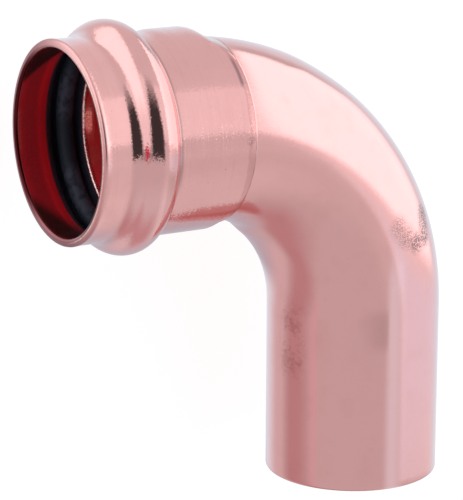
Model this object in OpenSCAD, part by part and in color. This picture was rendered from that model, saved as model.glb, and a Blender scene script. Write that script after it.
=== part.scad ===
// Copper press elbow: a 90 degree bend with a beaded socket at one end, which
// holds a rubber sealing ring, and a plain end the size of the pipe at the other.
// It lies on its side with the bend level. The origin is on the socket's axis
// at the pipe stop. The socket opens along -X and the plain end points along -Y.

/* [Pipe] */
// Outside diameter of the pipe that the socket takes, and of the plain end
pipe_d = 28; // [22:0.5:42]
// Thickness of the copper wall
wall = 1.3; // [1:0.05:1.5]

/* [Socket] */
// Clearance all round a pipe in the socket
pipe_clearance = 0.2; // [0.1:0.01:0.3]
// Depth from the mouth to the stop that the end of the pipe meets
socket_depth = 22.7; // [19:0.1:40]
// Length of the lip that is belled out at the mouth
lip_len = 1.2; // [0.8:0.1:2]
// How far the lip is belled out
lip_flare = 0.08; // [0.05:0.01:0.2]
// Rounding of both edges of the lip
lip_round = 0.4; // [0.1:0.05:0.45]

/* [Bead] */
// Distance from the mouth to the middle of the bead
bead_offset = 9.1; // [8.5:0.1:13]
// Outside radius of the rounded crown of the bead
crown_r = 3.5; // [3.2:0.05:4]
// Thickness of the wall over the bead, which is drawn thinner as it is rolled out
bead_wall = 1; // [0.8:0.05:1.3]
// Radius of the hollow between the collar and the bead
bead_front_r = 2.8; // [1:0.1:3.5]
// Radius of the crease between the bead and the sleeve
bead_back_r = 0.5; // [0.2:0.05:2]
// Radius of the corner between the collar's bore and the groove
groove_front_r = 3.9; // [2:0.1:4.5]
// Radius of the corner between the groove and the sleeve's bore
groove_back_r = 0.9; // [0.3:0.1:2]

/* [Sealing ring] */
// Thickness of the rubber cord of the ring
cord_d = 2.8; // [2.4:0.05:3.1]
// How far the ring stands into the bore
ring_stand_in = 0.15; // [0.05:0.01:0.2]
// Room left between the ring and the bottom of its groove
ring_clearance = 0.02; // [0.01:0.01:0.1]

/* [Shoulder] */
// Outside radius of the rounded edge of the shoulder
shoulder_r = 5; // [3:0.1:6]
// Slope of the shoulder down to the bent tube, in degrees
shoulder_slope = 43; // [35:1:46]

/* [Bend] */
// How far before the stop the bend of the tube starts
bend_lead = 0.9; // [0:0.1:1.5]
// Radius of the centre line of the bend
bend_r = 31.4; // [24:0.1:60]

/* [Plain end] */
// Straight length of the plain end beyond the bend
plain_len = 28; // [20:0.5:60]
// Rounding of the edges of the plain end
end_round = 0.5; // [0.1:0.05:0.6]

/* [Hidden] */
$fn = 96;
// Turn between the points of an arc, in degrees
arc_step = 6;
// Points closer than this are one point
same_point = 0.0005;

// The tube and the socket
tube_r = pipe_d / 2;
tube_bore_r = tube_r - wall;
bore_r = tube_r + pipe_clearance;
sleeve_r = bore_r + wall;

// Places along the socket, measured from the start of the bend
stop_x = bend_lead;
mouth_x = stop_x - socket_depth;
bead_x = mouth_x + bead_offset;

// The lip, an arc that curls outwards from the collar
lip_r = (lip_len * lip_len + lip_flare * lip_flare) / (2 * lip_flare);
lip_angle = asin(lip_len / lip_r);
lip_x = mouth_x + lip_len + lip_round * (1 - sin(lip_angle));

// The ring and its groove, which set how far the bead stands out
ring_r = bore_r - ring_stand_in + cord_d / 2;
groove_r = ring_r + cord_d / 2 + ring_clearance;
bead_r = groove_r + bead_wall;
crown_mid_r = bead_r - crown_r;

// The shoulder is drawn down this far, into the thickness of the bent tube
shoulder_root_r = tube_bore_r - wall;

// Points of an arc, as pairs of distance along the axis and radius
function arc(centre, r, from, to) =
    let (steps = ceil(abs(to - from) / arc_step))
    [for (i = [0 : steps])
        let (a = from + (to - from) * i / steps)
        centre + r * [cos(a), sin(a)]];

function reversed(points) = [for (i = [len(points) - 1 : -1 : 0]) points[i]];

// A closed outline with one point where the end of an arc meets the next arc
function joined(points) =
    [for (i = [0 : len(points) - 1])
        let (next = points[(i + 1) % len(points)])
        if (norm(next - points[i]) > same_point) points[i]];

// Distance along the axis from the crown to the fillet that leads up to it
// from a wall at the radius "base"
function fillet_reach(base, crown, fillet) =
    sqrt(pow(crown + fillet, 2) - pow(base + fillet - crown_mid_r, 2));

// Direction from the fillet to the crown, measured from the axis
function fillet_angle(base, crown, fillet) =
    atan2(base + fillet - crown_mid_r, fillet_reach(base, crown, fillet));

// One surface of the bead, from the collar over the crown to the sleeve
function bead_surface(base, crown, front, back) =
    let (
        front_centre = [bead_x - fillet_reach(base, crown, front), base + front],
        back_centre = [bead_x + fillet_reach(base, crown, back), base + back],
        front_angle = fillet_angle(base, crown, front),
        back_angle = fillet_angle(base, crown, back)
    )
    concat(
        arc(front_centre, front, 270, 360 - front_angle),
        arc([bead_x, crown_mid_r], crown, 180 - front_angle, back_angle),
        arc(back_centre, back, 180 + back_angle, 270));

// A surface of the lip, "out" beyond the bore
function lip_surface(out) =
    arc([lip_x, bore_r + lip_r], lip_r - out, 270 - lip_angle, 270);

// The rounded rim between the two surfaces of the lip
function rim() =
    let (
        inner = lip_surface(lip_round)[0],
        outer = lip_surface(wall - lip_round)[0]
    )
    concat(
        arc(inner, lip_round, 270 - lip_angle, 180 - lip_angle),
        arc(outer, lip_round, 180 - lip_angle, 90 - lip_angle));

function socket_outside() = concat(
    lip_surface(wall),
    bead_surface(sleeve_r, crown_r, bead_front_r, bead_back_r),
    [[stop_x, sleeve_r]]);

function socket_inside() = concat(
    lip_surface(0),
    bead_surface(bore_r, crown_r - bead_wall, groove_front_r, groove_back_r),
    [[stop_x, bore_r]]);

// Turns a section, drawn along X and up by its radius, about the X axis
module turned_about_x(section) {
    rotate([0, 90, 0])
        rotate_extrude()
            polygon([for (p = joined(section)) [p[1], p[0]]]);
}

// Moves a piece from the centre of the bend to the origin at the pipe stop
module from_bend_centre() {
    translate([-stop_x, -bend_r, 0])
        children();
}

module socket() {
    translate([0, bend_r, 0])
        turned_about_x(concat(rim(), socket_outside(), reversed(socket_inside())));
}

// The space inside a surface of the shoulder, "out" beyond the bore
module shoulder_space(out) {
    centre = [stop_x, sleeve_r - shoulder_r];
    edge = arc(centre, shoulder_r - wall + out, 90, 90 - shoulder_slope);
    foot = edge[len(edge) - 1];
    root_x = foot[0] + (foot[1] - shoulder_root_r) / tan(shoulder_slope);
    translate([0, bend_r, 0])
        turned_about_x(concat([[stop_x, 0]], edge, [[root_x, shoulder_root_r], [root_x, 0]]));
}

// The space inside a surface of the bent tube, "out" beyond its bore
module bend_space(out) {
    rotate_extrude(angle = 90)
        translate([bend_r, 0])
            circle(r = tube_bore_r + out);
}

// The space that the socket takes up, before the stop
module socket_space() {
    far_x = stop_x - shoulder_root_r;
    far_r = sleeve_r + wall;
    translate([0, bend_r, 0])
        turned_about_x([[far_x, 0], [far_x, far_r], [stop_x, far_r], [stop_x, 0]]);
}

// The bent tube with the shoulder that steps down to it from the socket
module bend() {
    difference() {
        union() {
            shoulder_space(wall);
            bend_space(wall);
        }
        union() {
            shoulder_space(0);
            bend_space(0);
        }
        socket_space();
    }
}

// The straight tube beyond the bend, with both edges of its end rounded
module plain_end() {
    round_x = plain_len - end_round;
    section = concat(
        [[0, tube_bore_r], [0, tube_r]],
        arc([round_x, tube_r - end_round], end_round, 90, 0),
        arc([round_x, tube_bore_r + end_round], end_round, 0, -90));
    translate([bend_r, 0, 0])
        rotate([0, 0, -90])
            turned_about_x(section);
}

module elbow_body() {
    color("lightpink")
        from_bend_centre() {
            socket();
            bend();
            plain_end();
        }
}

// A round rubber ring that lies in the groove of the bead
module sealing_ring() {
    color("dimgray")
        from_bend_centre()
            translate([bead_x, bend_r, 0])
                rotate([0, 90, 0])
                    rotate_extrude()
                        translate([ring_r, 0])
                            circle(d = cord_d);
}

elbow_body();
sealing_ring();
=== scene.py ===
# %% [markdown]
# # A copper press elbow
# The real part is one length of copper tube. One end is widened into a socket, a bead is rolled
# near its mouth, and a black rubber ring lies inside the bead. The other end stays as plain tube.
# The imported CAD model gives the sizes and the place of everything, so it is loaded first and
# nothing in it is moved. The pieces made below stand in for its two solids with finer surfaces.

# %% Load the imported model
import math
from types import SimpleNamespace

import bmesh
import bpy
from mathutils import Matrix, Vector


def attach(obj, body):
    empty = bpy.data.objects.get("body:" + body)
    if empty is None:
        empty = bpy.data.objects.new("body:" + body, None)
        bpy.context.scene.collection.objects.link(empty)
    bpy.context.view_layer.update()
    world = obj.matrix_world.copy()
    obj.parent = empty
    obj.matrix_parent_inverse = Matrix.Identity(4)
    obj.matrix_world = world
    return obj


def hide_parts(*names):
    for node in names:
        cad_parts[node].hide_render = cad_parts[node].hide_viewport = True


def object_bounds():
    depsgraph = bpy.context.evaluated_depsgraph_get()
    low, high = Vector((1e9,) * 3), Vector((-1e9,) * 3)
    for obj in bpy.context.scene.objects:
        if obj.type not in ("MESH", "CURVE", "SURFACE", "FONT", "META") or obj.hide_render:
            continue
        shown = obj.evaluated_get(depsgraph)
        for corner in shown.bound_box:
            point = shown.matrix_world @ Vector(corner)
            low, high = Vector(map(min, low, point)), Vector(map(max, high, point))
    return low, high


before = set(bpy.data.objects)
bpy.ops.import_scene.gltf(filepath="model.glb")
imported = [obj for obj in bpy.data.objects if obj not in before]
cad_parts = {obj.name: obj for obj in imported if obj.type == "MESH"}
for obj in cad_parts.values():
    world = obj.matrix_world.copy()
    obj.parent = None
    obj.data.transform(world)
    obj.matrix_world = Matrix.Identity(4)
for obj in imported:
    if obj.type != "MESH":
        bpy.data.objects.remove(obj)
cad_box = [list(corner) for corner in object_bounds()]
MM = 0.001


def in_mm(box):
    return [[round(v / MM, 2) for v in corner] for corner in box]


print("CAD nodes", sorted(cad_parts), "box in mm", in_mm(cad_box))

# %% [markdown]
# ## Node trees as sums
# Both the shapes and the finishes below are made of nodes. Writing them out link by link hides the
# idea, so one small class wraps an output socket: adding or multiplying two of them adds a Math
# node, and any other node comes from its one method, `node`.

# %% A socket that can be added and multiplied
class Wire:
    def __init__(self, tree, socket=None):
        self.tree, self.socket = tree, socket

    def node(self, kind, settings=None, inputs=None, out=0):
        made = self.tree.nodes.new(kind)
        for name, value in (settings or {}).items():
            setattr(made, name, value)
        for key, value in (inputs or {}).items():
            if isinstance(value, Wire):
                self.tree.links.new(value.socket, made.inputs[key])
            else:
                made.inputs[key].default_value = value
        return Wire(self.tree, made.outputs[out])

    def math(self, operation, *values):
        return self.node("ShaderNodeMath", {"operation": operation}, dict(enumerate(values)))

    def __add__(self, other):
        return self.math("ADD", self, other)

    def __radd__(self, other):
        return self.math("ADD", other, self)

    def __sub__(self, other):
        return self.math("SUBTRACT", self, other)

    def __rsub__(self, other):
        return self.math("SUBTRACT", other, self)

    def __mul__(self, other):
        return self.math("MULTIPLY", self, other)

    def __rmul__(self, other):
        return self.math("MULTIPLY", other, self)

    def __truediv__(self, other):
        return self.math("DIVIDE", self, other)

    def __rtruediv__(self, other):
        return self.math("DIVIDE", other, self)

    def __neg__(self):
        return self.math("MULTIPLY", self, -1.0)

    def __gt__(self, other):
        return self.math("GREATER_THAN", self, other)

    def __lt__(self, other):
        return self.math("LESS_THAN", self, other)

    def at_most(self, other):
        return self.math("MINIMUM", self, other)

    def at_least(self, other):
        return self.math("MAXIMUM", self, other)

    def power(self, other):
        return self.math("POWER", self, other)

    def root(self):
        return self.math("SQRT", self)

    def absolute(self):
        return self.math("ABSOLUTE", self)

    def floor(self):
        return self.math("FLOOR", self)

    def sine(self):
        return self.math("SINE", self)

    def cosine(self):
        return self.math("COSINE", self)

    def tangent(self):
        return self.math("TANGENT", self)

    def step(self, low, high):
        return self.node("ShaderNodeMapRange", {"interpolation_type": "SMOOTHSTEP"},
                         {"Value": self, "From Min": low, "From Max": high})

    def mix(self, first, second):
        return self.node("ShaderNodeMix", {"data_type": "RGBA"}, {0: self, 6: first, 7: second}, out=2)

    def vector(self, operation, inputs, out=0):
        return self.node("ShaderNodeVectorMath", {"operation": operation}, inputs, out)

    def xyz(self, x, y, z):
        return self.node("ShaderNodeCombineXYZ", None, {0: x, 1: y, 2: z})

    def parts(self):
        return [self.node("ShaderNodeSeparateXYZ", None, {0: self}, out=i) for i in range(3)]


print("Wire ready")

# %% [markdown]
# ## The section of the wall
# A fitting maker draws the wall once, as a closed outline of distance along the centre line and
# distance from it. Zero is where the bend starts. Every corner is an arc, because the metal is
# rolled and never folded sharp.

# %% Sizes of the elbow, in millimetres
TUBE_R, WALL, BORE_R = 14.0, 1.3, 14.2
TUBE_BORE_R, SLEEVE_R = TUBE_R - WALL, BORE_R + WALL
SOCKET_DEPTH, BEAD_OFFSET = 22.7, 9.1
BEND_R, BEND_LEAD = 31.4, 0.9
PLAIN_LEN, END_ROUND = 28.0, 0.5
LIP_LEN, LIP_FLARE, LIP_ROUND = 1.2, 0.08, 0.4
CROWN_R, BEAD_WALL = 3.5, 1.0
BEAD_FRONT_R, BEAD_BACK_R = 2.8, 0.5
GROOVE_FRONT_R, GROOVE_BACK_R = 3.9, 0.4
CORD, STAND_IN, RING_GAP = 2.8, 0.15, 0.02
SHOULDER_R, SHOULDER_SLOPE = 5.0, math.radians(43)

MOUTH = BEND_LEAD - SOCKET_DEPTH
BEAD = MOUTH + BEAD_OFFSET
RING_R = BORE_R - STAND_IN + CORD / 2
BEAD_R = RING_R + CORD / 2 + RING_GAP + BEAD_WALL
CROWN_MID = BEAD_R - CROWN_R
BEND_LEN = BEND_R * math.pi / 2
FULL_LEN = BEND_LEN + PLAIN_LEN
LIP_R = (LIP_LEN ** 2 + LIP_FLARE ** 2) / (2 * LIP_FLARE)
LIP_TURN = math.degrees(math.asin(LIP_LEN / LIP_R))
LIP_X = MOUTH + LIP_LEN + LIP_ROUND * (1 - math.sin(math.radians(LIP_TURN)))
print("bead stands out to", round(BEAD_R, 2), "mm; bend is", round(BEND_LEN, 1), "mm long")

# %% Ways to draw a stretch of the outline
def arc(centre, r, start, end, count):
    turns = [math.radians(start + (end - start) * i / count) for i in range(count + 1)]
    return [(centre[0] + r * math.cos(a), centre[1] + r * math.sin(a)) for a in turns]


def line(start, end, count):
    return [tuple(a + (b - a) * i / count for a, b in zip(start, end)) for i in range(1, count)]


def rows(start, spacing, count, r):
    return [(start + spacing * i, r) for i in range(count)]


def rolled(base, crown, front, back, counts):
    ends = []
    for fillet in (front, back):
        rise = base + fillet - CROWN_MID
        reach = math.sqrt((crown + fillet) ** 2 - rise ** 2)
        ends.append((reach, math.degrees(math.atan2(rise, reach))))
    (near_end, turn_in), (far_end, turn_out) = ends
    return (arc((BEAD - near_end, base + front), front, 270, 360 - turn_in, counts[0])
            + arc((BEAD, CROWN_MID), crown, 180 - turn_in, turn_out, counts[1])[1:]
            + arc((BEAD + far_end, base + back), back, 180 + turn_out, 270, counts[2])[1:])


def lip(out, count):
    return arc((LIP_X, BORE_R + LIP_R), LIP_R - out, 270 - LIP_TURN, 270, count)


print("lip is an arc of", round(LIP_R, 1), "mm radius")

# %% Draw the outline, with closer points where the shoulder will be
SHOULDER_FROM = -0.3
ROUND_POINTS = 7
end_x = FULL_LEN - END_ROUND

rim = (arc(lip(LIP_ROUND, 1)[0], LIP_ROUND, 270 - LIP_TURN, 180 - LIP_TURN, ROUND_POINTS)
       + arc(lip(WALL - LIP_ROUND, 1)[0], LIP_ROUND, 180 - LIP_TURN, 90 - LIP_TURN, ROUND_POINTS))

outside = lip(WALL, 5)[1:]
outside += rolled(SLEEVE_R, CROWN_R, BEAD_FRONT_R, BEAD_BACK_R, (12, 36, 8))
outside += line(outside[-1], (SHOULDER_FROM, SLEEVE_R), 14)
for start, spacing, count in ((SHOULDER_FROM, 0.2, 18), (3.3, 0.07, 42), (6.3, 0.4, 8)):
    outside += rows(start, spacing, count, TUBE_R)
outside += line(outside[-1], (BEND_LEN, TUBE_R), 84) + [(BEND_LEN, TUBE_R)]
outside += line(outside[-1], (end_x, TUBE_R), 30)

end_rim = (arc((end_x, TUBE_R - END_ROUND), END_ROUND, 90, 0, ROUND_POINTS)
           + arc((end_x, TUBE_BORE_R + END_ROUND), END_ROUND, 0, -90, ROUND_POINTS))

inside = lip(0, 4)[1:]
inside += rolled(BORE_R, CROWN_R - BEAD_WALL, GROOVE_FRONT_R, GROOVE_BACK_R, (9, 20, 8))
inside += line(inside[-1], (SHOULDER_FROM, BORE_R), 6)
inside += rows(SHOULDER_FROM, 0.3, 31, TUBE_BORE_R)
inside += line(inside[-1], (BEND_LEN, TUBE_BORE_R), 50) + [(BEND_LEN, TUBE_BORE_R)]
inside += line(inside[-1], (end_x, TUBE_BORE_R), 10)

# The third number marks the wall: 0 outside, 1 inside, and half way on the two rims
section = ([(s, r, 0.5) for s, r in rim] + [(s, r, 0.0) for s, r in outside]
           + [(s, r, 0.5) for s, r in end_rim] + [(s, r, 1.0) for s, r in reversed(inside)])
section.append(section[0])
print("outline of", len(section), "points")

# %% [markdown]
# ## Turn the outline and bend it
# The elbow's shape follows a rule: turn the outline about the centre line, then bend the line
# through a quarter turn. A grid of points, one row for each point of the outline, is moved there by
# Geometry Nodes. The shoulder is the only place where the rule needs care: it was pressed down
# along the straight socket while the tube inside it already bends away. Each row there lies in a
# tilted plane, so its reach to the shoulder is found by a few corrections, and a Smooth Maximum
# joins shoulder and tube with the small fillet that a press leaves.

# %% Start a tree with named sizes, and end it
def socket_in(tree, name, kind, value=None):
    made = tree.interface.new_socket(name=name, in_out="INPUT", socket_type=kind)
    if value is not None:
        made.default_value = value
    return made.identifier


def new_tree(name, sizes):
    tree = bpy.data.node_groups.new(name, "GeometryNodeTree")
    names = {"Geometry": socket_in(tree, "Geometry", "NodeSocketGeometry")}
    for label, value in sizes.items():
        names[label] = socket_in(tree, label, "NodeSocketFloat", value)
    names["Material"] = socket_in(tree, "Material", "NodeSocketMaterial")
    tree.interface.new_socket(name="Geometry", in_out="OUTPUT", socket_type="NodeSocketGeometry")
    given = tree.nodes.new("NodeGroupInput")
    return names, {label: Wire(tree, given.outputs[label]) for label in names}, Wire(tree)


def end_tree(w, geometry, material):
    smooth = w.node("GeometryNodeSetShadeSmooth", None, {"Geometry": geometry})
    real = w.node("GeometryNodeRealizeInstances", None, {"Geometry": smooth})
    done = w.node("GeometryNodeSetMaterial", None, {"Geometry": real, "Material": material})
    result = w.tree.nodes.new("NodeGroupOutput")
    w.tree.links.new(done.socket, result.inputs[0])


print("tree helpers ready")

# %% Find each point of the grid along and round the centre line
# A division can fall just short of a whole row, so a little is added before it is rounded down
ROUND_OFF = 0.00001


def grid_places(w, size, columns):
    per_row = float(columns + 1)
    index = w.node("GeometryNodeInputIndex")
    row = (index / per_row + ROUND_OFF).floor()
    turn = (index - row * per_row) * (2 * math.pi / columns)
    drawn = w.node("GeometryNodeSampleIndex", {"data_type": "FLOAT_VECTOR"},
                   {0: size["Geometry"], 1: w.node("GeometryNodeInputPosition"), 2: row})
    along, radius, inner = drawn.parts()
    tilt = along.at_least(0.0).at_most(BEND_LEN * MM) / size["Bend Radius"]
    cos_turn = turn.cosine()
    return SimpleNamespace(
        grid=w.node("GeometryNodeMeshGrid", None, {"Vertices X": len(section), "Vertices Y": columns + 1}),
        along=along, radius=radius, inner=inner,
        before=along.at_most(0.0), rest=(along - BEND_LEN * MM).at_least(0.0),
        sin_tilt=tilt.sine(), cos_tilt=tilt.cosine(),
        sin_turn=turn.sine(), cos_turn=cos_turn, in_plane=(cos_turn * cos_turn).power(4.0))


print("grid helper ready")

# %% Press the shoulder
SHOULDER_TO = 8.0
ROW_SLACK = 0.01
CORRECTIONS = 4


# The shoulder's outline is an arc from the sleeve, then a straight slope. The bend draws the edge
# out long on its outer and inner side and leaves it tight between them.
def shoulder_reach(size, at):
    slope = size["Shoulder Slope"]
    sine, fall = slope.sine(), slope.tangent()
    edge = size["Side Radius"] + at.in_plane * (size["Shoulder Radius"] - size["Side Radius"])
    shorter = (size["Shoulder Radius"] - edge) * (sine - (1.0 - slope.cosine()) / fall)
    edge_r = at.radius - TUBE_R * MM + edge
    edge_end = edge_r * sine
    reach = at.radius + 1.0 * MM
    for _ in range(CORRECTIONS):
        out = size["Bend Radius"] + reach * at.cos_turn
        x = at.before + out * at.sin_tilt - size["Bend Lead"] - shorter
        y = out * at.cos_tilt - size["Bend Radius"]
        z = reach * at.sin_turn
        on_arc = x.at_least(0.0).at_most(edge_end)
        drop = (x - edge_end).at_least(0.0) * fall
        wanted = size["Sleeve Radius"] - edge + (edge_r * edge_r - on_arc * on_arc).root() - drop
        reach = reach + wanted - (y * y + z * z).root()
    return reach, x


def pressed(w, size, at):
    reach, x = shoulder_reach(size, at)
    here = (at.along > (SHOULDER_FROM - ROW_SLACK) * MM) * (at.along < SHOULDER_TO * MM)
    joined = w.math("SMOOTH_MAX", reach, at.radius, size["Crease Fillet"])
    apart = reach - at.radius
    on_top = here * (apart > 0.0)
    marks = {"crease": here * (1 - apart.absolute().step(0.02 * MM, 0.10 * MM)),
             "shoulder_face": on_top * (x > 0.0) * (reach < size["Sleeve Radius"] - 0.002 * MM),
             "levelled": on_top}
    return at.radius + here * (joined - at.radius), marks


print("shoulder runs from", SHOULDER_FROM, "to at most", SHOULDER_TO, "mm")

# %% Add what the bending forms
# Bending swells the sleeve on the outer side of the bend and draws the shoulder in there and on the
# inner side. Each is a soft hump along the centre line.
def formed_by_bending(size, at):
    def hump(middle, full, none):
        return 1 - (at.along - middle * MM).absolute().step(full * MM, none * MM)

    outer_side = (size["Swell"] * (hump(-3.0, 2.3, 4.2) + 0.5 * hump(8.0, 4.0, 10.0))
                  - size["Top Draw"] * hump(1.9, 0.1, 1.7))
    inner_side = -size["Under Draw"] * (hump(4.4, 0.6, 2.8) + 0.39 * hump(13.5, 2.5, 8.5))
    formed = inner_side + (at.cos_turn > 0.0) * (outer_side - inner_side)
    return formed * at.in_plane * (at.inner < 0.25)


print("forming ready")

# %% Build the tree that turns and bends
ELBOW_SIZES = {"Bend Radius": BEND_R * MM, "Bend Lead": BEND_LEAD * MM, "Sleeve Radius": SLEEVE_R * MM,
               "Shoulder Radius": SHOULDER_R * MM, "Side Radius": 1.4 * MM,
               "Shoulder Slope": SHOULDER_SLOPE, "Crease Fillet": 0.16 * MM, "Swell": 0.33 * MM,
               "Top Draw": 0.86 * MM, "Under Draw": 1.0 * MM, "Forming Waves": 0.012 * MM}
WAVE_SEED, WAVE_SCALE = 3.7, 90.0
SAME_POINT = 0.002


def turned_and_bent_tree(columns):
    names, size, w = new_tree("turned_and_bent", ELBOW_SIZES)
    at = grid_places(w, size, columns)
    reach, marks = pressed(w, size, at)
    reach = reach + formed_by_bending(size, at)

    def bent(reach):
        out = size["Bend Radius"] + reach * at.cos_turn
        return at.before + out * at.sin_tilt, out * at.cos_tilt - at.rest, reach * at.sin_turn

    # Rolling and bending leave waves far too shallow to see, but a polished wall shows them
    waves = w.node("ShaderNodeTexNoise", {"noise_dimensions": "4D"},
                   {"Vector": w.xyz(*bent(reach)), "W": WAVE_SEED, "Scale": WAVE_SCALE, "Detail": 1.0})
    x, y, z = bent(reach + (waves - 0.5) * 2.0 * size["Forming Waves"])
    there = w.xyz(x - size["Bend Lead"], y - size["Bend Radius"], z)
    shape = w.node("GeometryNodeSetPosition", None, {"Geometry": at.grid, "Position": there})
    for name, value in {"inner_wall": at.inner, **marks}.items():
        shape = w.node("GeometryNodeStoreNamedAttribute", {"data_type": "FLOAT", "domain": "POINT"},
                       {"Geometry": shape, "Name": name, "Value": value})
    closed = w.node("GeometryNodeMergeByDistance", None, {"Geometry": shape, "Distance": SAME_POINT * MM})
    end_tree(w, closed, size["Material"])
    return w.tree, names


elbow_tree, elbow_names = turned_and_bent_tree(columns=168)
print("elbow's tree has", len(elbow_tree.nodes), "nodes")

# %% [markdown]
# ## Finishes
# The copper is drawn, polished and lightly handled. What makes it read as copper is the pink of
# its reflections, the fine lines left by the rolls round the socket, a grain that breaks up the
# edge of every reflection, and a few pits and scratches. Inside the socket the copper is painted a
# deeper red, a painted reflection of the light that bounces between its walls. All of it is drawn
# from Object coordinates in millimetres, and from the marks that the tree above left on the mesh.

# %% Start a material
def new_material(name):
    material = bpy.data.materials.new(name)
    material.use_nodes = True
    tree = material.node_tree
    tree.nodes.clear()
    output = tree.nodes.new("ShaderNodeOutputMaterial")
    return material, Wire(tree), output


def position_in_mm(w):
    spot = w.node("ShaderNodeTexCoord", None, None, out="Object")
    return w.vector("SCALE", {0: spot, "Scale": 1 / MM})


def noise(w, vector, scale, detail=2.0, rough=0.5, out=0):
    return w.node("ShaderNodeTexNoise", None,
                  {"Vector": vector, "Scale": scale, "Detail": detail, "Roughness": rough}, out)


def near(value, middle, full, none):
    return 1 - (value - middle).absolute().step(full, none)


print("material helpers ready")

# %% Find the places on the copper
# The lines left by the rolls run round the socket, so they change along its axis.
def copper_places(w):
    spot = position_in_mm(w)
    x, y, z = spot.parts()
    wall, crease, face, levelled = (
        w.node("ShaderNodeAttribute", {"attribute_name": name}, None, out="Fac")
        for name in ("inner_wall", "crease", "shoulder_face", "levelled"))
    inner = wall.step(0.55, 0.95)
    socket = 1 - x.step(3.0, 4.2)
    bead = near(x, BEAD - BEND_LEAD, 3.2, 4.2)
    return SimpleNamespace(
        w=w, spot=spot, x=x, y=y, z=z, crease=crease, face=face, levelled=levelled, inner=inner,
        rim=near(wall, 0.5, 0.1, 0.4) * (1 - x.step(-21.0, -20.0)),
        socket=socket, bead=bead, lined=socket * (1 - 0.85 * bead) * (1 - inner),
        fine=noise(w, w.xyz(x * 9.0, y * 0.04, z * 0.04), 1.0, 2.0, 0.6),
        wide=noise(w, w.xyz(x * 2.4, y * 0.05, z * 0.05), 1.0, 3.0, 0.6),
        cloud=noise(w, spot, 0.22, 3.0, 0.55), dots=noise(w, spot, 4.0, 2.0, 0.6))


print("copper's places ready")

# %% [markdown]
# The outside is bright pink copper, a little darker where it is handled or lined. Painted light
# and shade are mixed in as well: a lighter collar and bead underside, a darker back of the bead
# and hollow behind it, a pale painted highlight along a strip of the plain end with a darker
# painted reflection beside it, and painted shade on the shoulder, in the crease under it and in
# two marks by the crease.
# A picture could be wrapped round it, but masks made from the position need no unwrapping and stay
# sharp at any size, so each tone is mixed over the last one by a mask.

# %% Colour the outside
CLEAN_PINK, TIRED_PINK = (0.90, 0.495, 0.487, 1), (0.80, 0.40, 0.385, 1)
COLLAR_LIT_PINK, SHOULDER_SHADE_PINK = (0.99, 0.545, 0.535, 1), (0.72, 0.36, 0.345, 1)
BEAD_BACK_SHADE, BEAD_FOOT_SHADE = (0.70, 0.37, 0.36, 1), (0.45, 0.28, 0.28, 1)
BEAD_UNDERSIDE_LIT = (1.0, 0.58, 0.575, 1)
HIGHLIGHT_PALE, DARK_REFLECTION_PINK = (1.0, 0.64, 0.67, 1), (0.68, 0.37, 0.36, 1)
CREASE_SHADE_BROWN, SHADE_MARK_GREY = (0.16, 0.08, 0.085, 1), (0.30, 0.18, 0.20, 1)


def outside_colour(at):
    x, y, z = at.x, at.y, at.z
    # Painted highlight: the collar next to the mouth is a lighter copy of the same copper
    colour = (1 - x.step(-18.8, -17.6)).mix(CLEAN_PINK, COLLAR_LIT_PINK)
    colour = (at.cloud.step(0.45, 0.75) * 0.2).mix(colour, TIRED_PINK)
    high = y.step(-7.0, -2.5)
    # Painted shade: the back flank of the bead is darker
    colour = (at.bead * x.step(-13.6, -12.0) * 0.8).mix(colour, BEAD_BACK_SHADE)
    # Painted highlight: the lower half of the bead is lighter
    colour = (at.bead * (1 - high) * 0.8).mix(colour, BEAD_UNDERSIDE_LIT)
    # Painted shade in the hollow behind the bead, on its upper side
    foot = x.step(-11.0, -10.5) * (1 - x.step(-9.9, -9.5)) * high
    colour = (foot * 0.6).mix(colour, BEAD_FOOT_SHADE)
    # Painted highlight: a pale strip of reflection along the plain end
    highlight_strip = x.step(27.4, 28.9) * (1 - x.step(29.2, 32.0)) * (1 - y.step(-26.0, -18.0)) * z.step(2.0, 6.0)
    colour = highlight_strip.mix(colour, HIGHLIGHT_PALE)
    # Painted reflection: a darker patch beside the pale strip
    dark_reflection = x.step(23.0, 28.0) * (1 - x.step(27.9, 28.5)) * near(y, -32.8, 1.5, 4.5) * z.step(5.0, 9.0)
    colour = (dark_reflection * 0.6).mix(colour, DARK_REFLECTION_PINK)
    colour = (at.lined * at.wide.step(0.5, 0.72) * 0.2).mix(colour, TIRED_PINK)
    # Painted shade on the shoulder's face, which damps its highlight
    colour = (at.face * 0.62).mix(colour, SHOULDER_SHADE_PINK)
    # Painted shade in the crease under the shoulder, in patches and weaker on the side
    patchy = 0.35 + 0.5 * noise(at.w, at.spot, 0.35).step(0.42, 0.58)
    crease_shade = at.crease * (1 - 0.75 * near(y, 4.5, 3.0, 6.0) * z.step(3.0, 9.0))
    colour = (crease_shade * patchy).mix(colour, CREASE_SHADE_BROWN)
    # Painted shade: two dark grey marks by the top and the side of the crease
    top_shade_mark = near(x, 1.9, 0.15, 0.6) * near(y, 10.3, 1.2, 2.4) * z.step(7.0, 8.5)
    side_shade_mark = near(x, 2.2, 0.5, 1.4) * near(y, 0.6, 0.2, 0.9) * z.step(10.0, 12.0)
    return ((top_shade_mark + side_shade_mark * at.dots.step(0.42, 0.6)) * 0.7).mix(colour, SHADE_MARK_GREY)


print("outside ready")

# %% [markdown]
# The cut rim gets painted shade, brown below and dark on its flanks, and a painted highlight
# along a thin edge where it faces up. The tree marks it on the mesh, so no faces have to be picked
# by hand: the mark and the distance from the axis are enough.

# %% Colour the rim of the mouth
RIM_LOW_SHADE, RIM_FLANK_SHADE, RIM_HIGHLIGHT = (0.30, 0.10, 0.115, 1), (0.10, 0.012, 0.016, 1), (1.0, 0.80, 0.74, 1)


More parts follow.
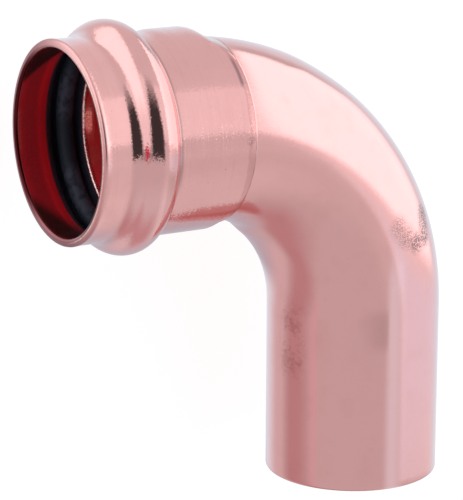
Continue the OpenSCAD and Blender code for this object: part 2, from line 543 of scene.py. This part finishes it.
def rim_colour(at, colour):
    off_axis = (at.y * at.y + at.z * at.z).root()
    # Painted shade, brown on the lower part of the rim
    low = 0.95 - 0.8 * (at.z + 0.4 * at.y).step(-4.0, 12.0)
    colour = (at.rim * low).mix(colour, RIM_LOW_SHADE)
    # Painted shade, dark on the rim's flanks
    flank_shade = at.z.absolute().step(5.0, 11.0)
    colour = (at.rim * flank_shade * (1 - off_axis.step(14.72, 14.86))).mix(colour, RIM_FLANK_SHADE)
    # Painted highlight along the thin outer edge where it faces up
    edge = near(off_axis, 14.95, 0.06, 0.14) * at.dots.step(0.3, 0.6) * at.z.step(2.0, 9.0)
    return (at.rim * edge).mix(colour, RIM_HIGHLIGHT)


print("rim ready")

# %% [markdown]
# The inside is painted a strong red for the light that bounces between the copper walls, darker
# near the mouth and lighter beside the ring and past it. Painted shade darkens the top and bottom
# of the mouth and makes the groove round the ring nearly black, and a painted highlight runs along
# the groove's back corner. Past the ring a glint is drawn as a shallow dent with a painted orange
# highlight on it, a weaker painted glint lies below it and another at the mouth, and the bend
# beyond is plain copper. These bands follow the depth in the socket, so they are drawn from X, and
# the two dark ends of the mouth from slanting lines in X and Y.

# %% Colour the inside
BOUNCE_RED, MOUTH_SHADE_RED, RING_SIDE_LIT_RED = (0.80, 0.03, 0.05, 1), (0.46, 0.03, 0.045, 1), (1.0, 0.035, 0.06, 1)
PAST_RING_LIT_RED, BEND_COPPER = (1.0, 0.06, 0.07, 1), (0.72, 0.27, 0.22, 1)
GLINT_ORANGE, CORNER_HIGHLIGHT = (1.0, 0.30, 0.25, 1), (1.0, 0.78, 0.75, 1)
MOUTH_SHADE, GROOVE_SHADE = (0.022, 0.015, 0.013, 1), (0.045, 0.048, 0.075, 1)


def inside_colour(at, colour):
    x, y, inner = at.x, at.y, at.inner
    # Painted reflection: a strong red for light bounced between the copper walls, with painted shade near
    # the mouth
    bounce_red = (near(x, -20.2, 0.5, 1.6) * 0.5).mix(BOUNCE_RED, MOUTH_SHADE_RED)
    # Painted light: a lighter red band beside the ring, and a lighter red past it
    bounce_red = near(x, -18.0, 0.5, 1.2).mix(bounce_red, RING_SIDE_LIT_RED)
    at.past_ring, at.beyond = x.step(-10.6, -10.2), x.step(-2.0, 4.0)
    bounce_red = at.past_ring.mix(bounce_red, PAST_RING_LIT_RED)
    bounce_red = at.beyond.mix(bounce_red, BEND_COPPER)
    colour = inner.mix(colour, bounce_red)

    # Painted highlights: orange glints past the ring, a weaker one below it and one at the mouth
    at.dent = inner * near(x, -10.0, 0.25, 1.2) * near(y, 0.0, 0.6, 4.2)
    lower = near(x, -9.7, 0.3, 1.2) * near(y, -5.5, 0.6, 2.0) * 0.4
    mouth = near(x, -22.2, 0.2, 0.7) * near(y, -0.5, 1.5, 4.0) * 0.5
    at.glint = inner * (at.dent + lower + mouth).at_most(1.0) * (0.35 + 0.65 * at.dots.step(0.35, 0.65))
    colour = at.glint.mix(colour, GLINT_ORANGE)

    # Painted shade at the top and bottom of the mouth
    in_mouth = 1 - x.step(-17.5, -17.0)
    top = (y - 6.7 - 1.27 * (x + 22.4)).step(-0.4, 1.0) * in_mouth
    bottom = (-10.2 - 0.9 * (x + 22.0) - y).step(-1.2, 1.6) * in_mouth
    colour = (inner * (top + bottom).at_most(1.0) * 0.9).mix(colour, MOUTH_SHADE)
    # Painted shade in the groove round the ring
    at.groove = x.step(-17.6, -17.1) * (1 - x.step(-11.15, -10.95))
    colour = (inner * at.groove).mix(colour, GROOVE_SHADE)
    # Painted highlight along the back corner of the groove
    at.corner = inner * near(x, -10.85, 0.15, 0.27)
    return (at.corner * at.dots.step(0.3, 0.55)).mix(colour, CORNER_HIGHLIGHT)


print("inside ready")

# %% [markdown]
# The pits are few and dark. The fitting was rubbed on the outer side of the bend and handled on the
# inner side of the plain end. Voronoi cells give the pits and the distance from a few middles gives
# the rubs. A scratch is the thin band where a noise passes through its middle value, because that
# band wanders as a scratch does.

# %% Add pits, the rubbed place and scratches
PIT_BROWN, RUB_GREY = (0.25, 0.09, 0.08, 1), (0.12, 0.085, 0.095, 1)
STAIN_BROWN, SCRATCH_BROWN = (0.50, 0.22, 0.21, 1), (0.28, 0.13, 0.13, 1)
# Middle, strength, and the distances at which a rub is full and gone, in millimetres
RUBS = (((30.3, -16.4, 13.6), 0.5, 0.5, 2.8), ((31.8, -17.9, 13.4), 0.6, 0.6, 3.0),
        ((36.3, -15.6, 10.7), 1.0, 0.6, 2.6), ((36.2, -17.2, 11.3), 1.0, 0.6, 2.6),
        ((35.9, -18.7, 11.8), 1.0, 0.6, 2.6), ((33.9, -19.3, 12.9), 1.0, 0.6, 2.6))


def marked_colour(at, colour):
    w, spot = at.w, at.spot
    cells = w.node("ShaderNodeTexVoronoi", None, {"Vector": spot, "Scale": 0.32, "Randomness": 1.0})
    at.pits = (1 - cells.step(0.02, 0.045)) * noise(w, spot, 0.13, 1.0).step(0.5, 0.56)
    colour = (at.pits * 0.7).mix(colour, PIT_BROWN)

    ragged = 2.0 * (at.cloud - 0.5)
    rubs = []
    for middle, strength, full, none in RUBS:
        away = w.vector("DISTANCE", {0: spot, 1: middle}, out="Value")
        rubs.append(strength * (1 - (away + ragged).step(full, none)))
    at.rub = rubs[0]
    for rub in rubs[1:]:
        at.rub = at.rub.at_least(rub)
    colour = (at.rub * (0.15 + 0.85 * at.dots.step(0.40, 0.56)) * 0.9).mix(colour, RUB_GREY)

    handled = near(at.y, -35.5, 3.0, 8.0) * near(at.z, 3.0, 1.2, 3.6) * (1 - at.x.step(19.0, 21.0))
    stain = handled * noise(w, spot, 0.45, 4.0, 0.7).step(0.44, 0.72)
    colour = (stain * 0.6).mix(colour, STAIN_BROWN)
    thread = (noise(w, spot, 0.55) - 0.5).absolute()
    scratch = (1 - thread.step(0.002, 0.010)) * noise(w, spot, 0.6, 1.0).step(0.52, 0.6)
    return (scratch * (handled * 0.5 + 0.06)).mix(colour, SCRATCH_BROWN)


print("rubbed in", len(RUBS), "places")

# %% [markdown]
# Polished metal shows its surface by what it mirrors. The lines and the grain are too fine to model,
# so the normal is tipped instead. The lines tip it along the socket, the grain a little every way,
# the dent turns it to the mouth, and along the side the shoulder mirrors as the sleeve does. Vector
# Math does that directly, and only the pits go through a Bump node, because they are a height.

# %% Tip the mirror
DENT_WAY = (-0.75, -0.22, 0)


def tipped_normal(at):
    w = at.w
    to_world = {"convert_from": "OBJECT", "convert_to": "WORLD"}
    axis, dent_way = (w.node("ShaderNodeVectorTransform", to_world, {0: way})
                      for way in ((1, 0, 0), DENT_WAY))
    facing = w.node("ShaderNodeNewGeometry", None, None, out="Normal")
    lean = w.vector("DOT_PRODUCT", {0: facing, 1: axis}, out="Value")
    lines = ((at.fine - 0.5) * 0.14 + (at.wide - 0.5) * 0.06) * at.lined * (1 - at.x.step(-2.5, -0.3))
    tip = lines - lean * at.levelled * at.z.step(3.0, 9.0) * 0.95
    grain = noise(w, at.spot, 4.2, 2.0, 0.6, out="Color")
    grain = w.vector("SUBTRACT", {0: grain, 1: (0.5, 0.5, 0.5)})
    coarse = 0.05 + 0.13 * at.socket + 0.35 * at.rub + 0.3 * at.inner * (1 - at.dent)
    for way, amount in ((axis, tip), (dent_way, at.dent), (grain, coarse)):
        facing = w.vector("ADD", {0: facing, 1: w.vector("SCALE", {0: way, "Scale": amount})})
    facing = w.vector("NORMALIZE", {0: facing})
    return w.node("ShaderNodeBump", None, {"Strength": 0.35, "Distance": 0.012 * MM,
                                           "Height": -1.5 * at.pits, "Normal": facing})


print("mirror ready")

# %% The copper
def copper_material():
    material, w, output = new_material("polished_copper")
    at = copper_places(w)
    colour = marked_colour(at, inside_colour(at, rim_colour(at, outside_colour(at))))
    rough = 0.085 + 0.04 * at.cloud + 0.2 * at.inner * (1 - 0.3 * at.dent) + 0.2 * at.rim
    # The inside is partly matte, so that its painted red shows under the light it gets
    bounce_red_share = at.inner * (1 - at.corner) * (1 - 0.9 * at.beyond) * (1 - at.glint)
    metal = 1 - bounce_red_share * (0.6 + 0.4 * (at.groove + at.past_ring).at_most(1.0))
    shader = w.node("ShaderNodeBsdfPrincipled", None,
                    {"Base Color": colour, "Metallic": metal, "Roughness": rough,
                     "Normal": tipped_normal(at)})
    w.tree.links.new(shader.socket, output.inputs["Surface"])
    return material


copper = copper_material()
print("copper has", len(copper.node_tree.nodes), "nodes")

# %% [markdown]
# The ring is plain black rubber. Its skin is a little uneven, grey patches on it are painted
# highlights, and it mirrors far less than the copper, so it needs few nodes.

# %% The rubber
RUBBER_BLACK, RUBBER_HIGHLIGHT_GREY = (0.027, 0.035, 0.052, 1), (0.072, 0.08, 0.12, 1)


def rubber_material():
    material, w, output = new_material("black_seal_rubber")
    spot = position_in_mm(w)
    y = spot.parts()[1]
    skin = noise(w, spot, 3.0, 3.0, 0.6)
    # Painted highlights: grey patches on two stretches of the ring
    highlight_patches = (near(y, 4.5, 2.5, 5.0) + near(y, -10.0, 2.0, 4.5)) * noise(w, spot, 0.8).step(0.3, 0.6)
    colour = (highlight_patches * 0.9).mix(RUBBER_BLACK, RUBBER_HIGHLIGHT_GREY)
    bump = w.node("ShaderNodeBump", None, {"Strength": 0.3, "Distance": 0.02 * MM, "Height": skin})
    shader = w.node("ShaderNodeBsdfPrincipled", None,
                    {"Base Color": colour, "Roughness": 0.42 + 0.1 * skin,
                     "Specular IOR Level": 0.14, "Normal": bump})
    w.tree.links.new(shader.socket, output.inputs["Surface"])
    return material


rubber = rubber_material()
print("rubber has", len(rubber.node_tree.nodes), "nodes")

# %% [markdown]
# ## The elbow
# The outline becomes a mesh of points only, the tree above is put on it as a modifier, and its
# inputs are set by their identifiers before Blender first works it out. The result is then kept as
# a plain mesh, with no tree left on it.

# %% Make the elbow
def carrier_with(tree, names, values, mesh):
    carrier = bpy.data.objects.new("carrier", mesh)
    bpy.context.scene.collection.objects.link(carrier)
    modifier = carrier.modifiers.new("shape", "NODES")
    modifier.node_group = tree
    for name, value in values.items():
        modifier[names[name]] = value
    return carrier


def keep_as_mesh(carrier, name):
    bpy.context.view_layer.update()
    graph = bpy.context.evaluated_depsgraph_get()
    mesh = bpy.data.meshes.new_from_object(carrier.evaluated_get(graph),
                                           preserve_all_data_layers=True, depsgraph=graph)
    mesh.name = name
    bpy.data.objects.remove(carrier)
    shape = bmesh.new()
    shape.from_mesh(mesh)
    bmesh.ops.recalc_face_normals(shape, faces=shape.faces)
    if shape.calc_volume(signed=True) < 0:
        bmesh.ops.reverse_faces(shape, faces=shape.faces)
    open_edges = sum(1 for e in shape.edges if not e.is_manifold)
    volume = shape.calc_volume(signed=True)
    shape.to_mesh(mesh)
    shape.free()
    piece = bpy.data.objects.new(name, mesh)
    bpy.context.scene.collection.objects.link(piece)
    print(name, len(mesh.polygons), "faces,", open_edges, "open edges,", round(volume / MM ** 3, 1), "mm3")
    return piece


outline = bpy.data.meshes.new("outline")
outline.from_pydata([(s * MM, r * MM, mark) for s, r, mark in section], [], [])
elbow_values = {"Bend Radius": BEND_R * MM, "Material": copper}
elbow = keep_as_mesh(carrier_with(elbow_tree, elbow_names, elbow_values, outline), "copper_elbow")

# %% [markdown]
# ## The sealing ring
# A round cord bent into a ring: a circle swept round a circle. Two curve circles and Curve to Mesh
# say just that.

# %% Make the ring
def ring_tree():
    names, size, w = new_tree("cord_ring", {"Ring Radius": RING_R * MM, "Cord Radius": CORD / 2 * MM,
                                            "Place": (BEAD - BEND_LEAD) * MM})
    path, cord = (w.node("GeometryNodeCurvePrimitiveCircle", None,
                         {"Resolution": points, "Radius": size[name]})
                  for points, name in ((144, "Ring Radius"), (32, "Cord Radius")))
    swept = w.node("GeometryNodeCurveToMesh", None, {"Curve": path, "Profile Curve": cord})
    placed = w.node("GeometryNodeTransform", None,
                    {"Geometry": swept, "Translation": w.xyz(size["Place"], 0.0, 0.0),
                     "Rotation": (0, math.pi / 2, 0)})
    end_tree(w, placed, size["Material"])
    return w.tree, names


cord_tree, cord_names = ring_tree()
cord_values = {"Ring Radius": RING_R * MM, "Material": rubber}
empty = bpy.data.meshes.new("empty")
ring = keep_as_mesh(carrier_with(cord_tree, cord_names, cord_values, empty), "seal_ring")

# %% [markdown]
# ## Camera
# The photograph was taken from above the lying part, along its socket and a little to one side,
# with a long lens. The place and the aim below were worked out from the outline of the part.

# %% Set up the camera
def unit(v):
    return Vector(v).normalized()


PICTURE_W, PICTURE_H, SENSOR = 463, 500, 36
FOCAL, CENTRE = 2366.93, (220.144, 281.871)
eye = Vector((-175.499, 70.971, 309.92)) * MM
right, up = unit((0.8638, 0.0019, 0.5039)), unit((0.1286, 0.9661, -0.224))
back = unit((-0.4872, 0.2583, 0.8342))
aim = unit(-back + right * (PICTURE_W / 2 - CENTRE[0]) / FOCAL + up * (CENTRE[1] - PICTURE_H / 2) / FOCAL)
side = unit(aim.cross(up))
top = side.cross(aim)
lens = bpy.data.cameras.new("camera")
lens.lens, lens.sensor_width, lens.clip_start = FOCAL / PICTURE_H * SENSOR, SENSOR, 0.01
camera = bpy.data.objects.new("camera", lens)
camera.matrix_world = Matrix(((side.x, top.x, -aim.x, eye.x), (side.y, top.y, -aim.y, eye.y),
                              (side.z, top.z, -aim.z, eye.z), (0, 0, 0, 1)))
scene = bpy.context.scene
scene.collection.objects.link(camera)
scene.camera = camera
print("lens", round(lens.lens, 1), "mm at", round(eye.length / MM), "mm")

# %% [markdown]
# ## Studio
# Polished metal has no look of its own: it shows the room. The room here is a plain light tent,
# painted on the world: a bright wall on either side, a dim one below, and a dark opening for the
# camera. A point of the world is found by the half vector between its direction and the camera's,
# because that is the normal of the metal that mirrors it, so the zones can be read off the part.

# %% Find a place in the tent
scene.view_settings.view_transform = "Standard"
world = bpy.data.worlds.new("light_tent")
scene.world = world
world.use_nodes = True
world.node_tree.nodes.clear()
tent = Wire(world.node_tree)
way = tent.node("ShaderNodeTexCoord", None, None, out="Generated")
dx, dy, dz = (tent.vector("DOT_PRODUCT", {0: way, 1: tuple(axis)}, out="Value")
              for axis in (right, up, back))
scale = (2.0 * dz + 2.0004).root()
hx, hy = dx / scale, dy / scale
out_h = (hx * hx + hy * hy).root()
hz = (1.0 - hx * hx - hy * hy).at_least(0.0).root()
end_on = hx * right.x + hy * up.x + hz * back.x
side_on = hx * right.y + hy * up.y + hz * back.y
print("half vector takes", len(tent.tree.nodes), "nodes")

# %% Light its walls
PLAIN, LIGHT, RIGHT_WALL, SEAM = 0.62, 0.96, 1.58, 0.60


def over(base, mask, value):
    return base + mask * (value - base)


# Above the middle the tent is light, and its left wall is brighter still
above = hy.step(-0.08, -0.025)
low_corner = (1 - hy.step(-0.55, -0.3)) * hx.step(0.2, 0.35)
plain = PLAIN + 0.06 * hx.step(0.3, 0.45) + 0.06 * low_corner + 0.12 * above
bright = over(plain, above * (1 - hy.step(0.37, 0.42)), LIGHT)
fading = hx.step(0.42, 0.56) * (1 - above) * end_on.step(0.0, 0.08)
bright = over(bright, fading, 0.64 + 0.31 * hy.step(-0.36, -0.13))
reach_down = above.at_least(hy.step(-0.19, -0.14) * hx.step(-0.6, -0.5))
left_wall = (1 - hx.step(-0.28, -0.16)) * reach_down * (1 - out_h.step(0.83, 0.88))
bright = over(bright, left_wall, 1.0 + 0.4 * hy.step(0.0, 0.2))

# The camera's opening, narrower higher up, with a half-dark sill along its foot
width = 0.25 - 0.35 * hy.at_least(0.0)
opening = (1 - ((hx - 0.10).absolute() - width).step(-0.05, 0.06)) * (1 - hy.step(0.36, 0.46))
sill = (1 - hx.step(0.28, 0.36)) * hx.step(-0.5, -0.44) * (1 - hy.step(-0.19, -0.14))
opening = opening.at_least(0.5 * sill) * hy.step(-0.24, -0.205)
bright = over(bright, opening, 0.05 + 0.43 * hy.step(0.16, 0.38))

# The right wall, which the outer side of the bend shows, and the seam along its edge
edge_h = out_h - 0.03 * hx.step(0.48, 0.56) - 0.025 * hx.step(0.56, 0.72)
right_wall = (end_on - 0.08 * hy.at_least(0.0)).step(0.02, 0.08) * side_on.step(0.08, 0.16)
right_wall = right_wall * hy.step(-0.13, -0.03) * (1 - edge_h.step(0.86, 0.895))
bright = over(bright, right_wall, RIGHT_WALL)
seam = end_on.step(0.10, 0.16) * hy.step(0.0, 0.1) * edge_h.step(0.87, 0.89) * (1 - edge_h.step(0.905, 0.93))
bright = over(bright, seam * (1 - 0.6 * hx.step(0.6, 0.75)), SEAM)
level = (1 - side_on.step(0.02, 0.05)) * side_on.step(-0.05, -0.02)
bright = bright + 0.02 * level * hx.step(0.34, 0.40)
print("walls from", PLAIN, "to", RIGHT_WALL)

# %% Tint it and hang it
# The rose and red tints stand for the copper's own colour, which its sides show of each other
COOL_STRIP, ROSE, ROSE_FRINGE = (0.86, 0.97, 1.06, 1), (0.535, 0.375, 0.395, 1), (0.72, 0.57, 0.60, 1)
GREY_FRINGE, RED_SPOT = (0.70, 0.67, 0.68, 1), (0.55, 0.03, 0.08, 1)
FAR_LOW, FAR_HIGH = (0.54, 0.59, 0.66, 1), (0.80, 0.97, 1.05, 1)

lit = tent.node("ShaderNodeCombineColor", None, {0: bright, 1: bright, 2: bright})
strip = end_on.step(0.03, 0.12) * (1 - side_on.step(0.03, 0.09)) * side_on.step(-0.09, -0.03)
lit = strip.mix(lit, COOL_STRIP)
low = 1 - hy.step(-0.14, -0.02)
moved = out_h + 0.10 - 0.10 * hx.step(-0.5, -0.2)
rose = moved.step(0.58, 0.80) * (1 - moved.step(0.84, 0.95)) * low * (1 - hx.step(0.0, 0.35))
lit = rose.mix(lit, ROSE)
beside = (1 - hx.step(-0.5, -0.3)) * low
lit = (beside * moved.step(0.54, 0.60) * (1 - moved.step(0.62, 0.70)) * 0.8).mix(lit, ROSE_FRINGE)
lit = (beside * moved.step(0.90, 0.96)).mix(lit, GREY_FRINGE)
spot_x, spot_y = 0.5 * (hx + 0.36), hy + 0.178
red_spot = 1 - (spot_x * spot_x + spot_y * spot_y).root().step(0.03, 0.06)
lit = red_spot.mix(lit, RED_SPOT)
lit = out_h.step(0.88, 0.975).mix(lit, hy.step(-0.6, -0.2).mix(FAR_LOW, FAR_HIGH))
cloth = tent.node("ShaderNodeBackground", None, {"Color": lit, "Strength": 1.0})
hung = tent.tree.nodes.new("ShaderNodeOutputWorld")
tent.tree.links.new(cloth.socket, hung.inputs["Surface"])
print("tent has", len(tent.tree.nodes), "nodes")

# %% [markdown]
# ## Floor
# A plain white floor that touches the lowest point of the bead. The camera sees it as white with
# the part's soft shadow. The metal shows the lower half of the tent in its place.

# %% Lay the floor
FLOOR_GLOW, FLOOR_GREY, FLOOR_HALF = 0.87, (0.3, 0.3, 0.3, 1), 2
material, w, output = new_material("white_floor")
camera_ray, glossy_ray, clear_ray = (w.node("ShaderNodeLightPath", None, None, out=name)
                                     for name in ("Is Camera Ray", "Is Glossy Ray", "Is Transmission Ray"))
seen = (camera_ray + glossy_ray + clear_ray).at_most(1.0)
matte = w.node("ShaderNodeBsdfDiffuse", None, {"Color": FLOOR_GREY})
glow = w.node("ShaderNodeEmission", None, {"Color": (1, 1, 1, 1), "Strength": seen * FLOOR_GLOW})
both = w.node("ShaderNodeAddShader", None, {0: matte, 1: glow})
w.tree.links.new(both.socket, output.inputs["Surface"])
lowest = cad_box[0][2]
corners = [(x * FLOOR_HALF, y * FLOOR_HALF, lowest) for x, y in ((-1, -1), (1, -1), (1, 1), (-1, 1))]
sheet = bpy.data.meshes.new("floor")
sheet.from_pydata(corners, [], [(0, 1, 2, 3)])
sheet.materials.append(material)
floor = bpy.data.objects.new("floor", sheet)
floor.visible_glossy = False
scene.collection.objects.link(floor)
print("floor at", round(lowest / MM, 2), "mm")

# %% [markdown]
# ## Pieces on the body
# Each piece rides on the part's one body and stands for its solid, which is hidden.

# %% Ride and replace
for piece, node, slot in ((elbow, "elbow_body", "copper"), (ring, "sealing_ring", "ring_rubber")):
    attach(piece, "root")
    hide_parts(node)
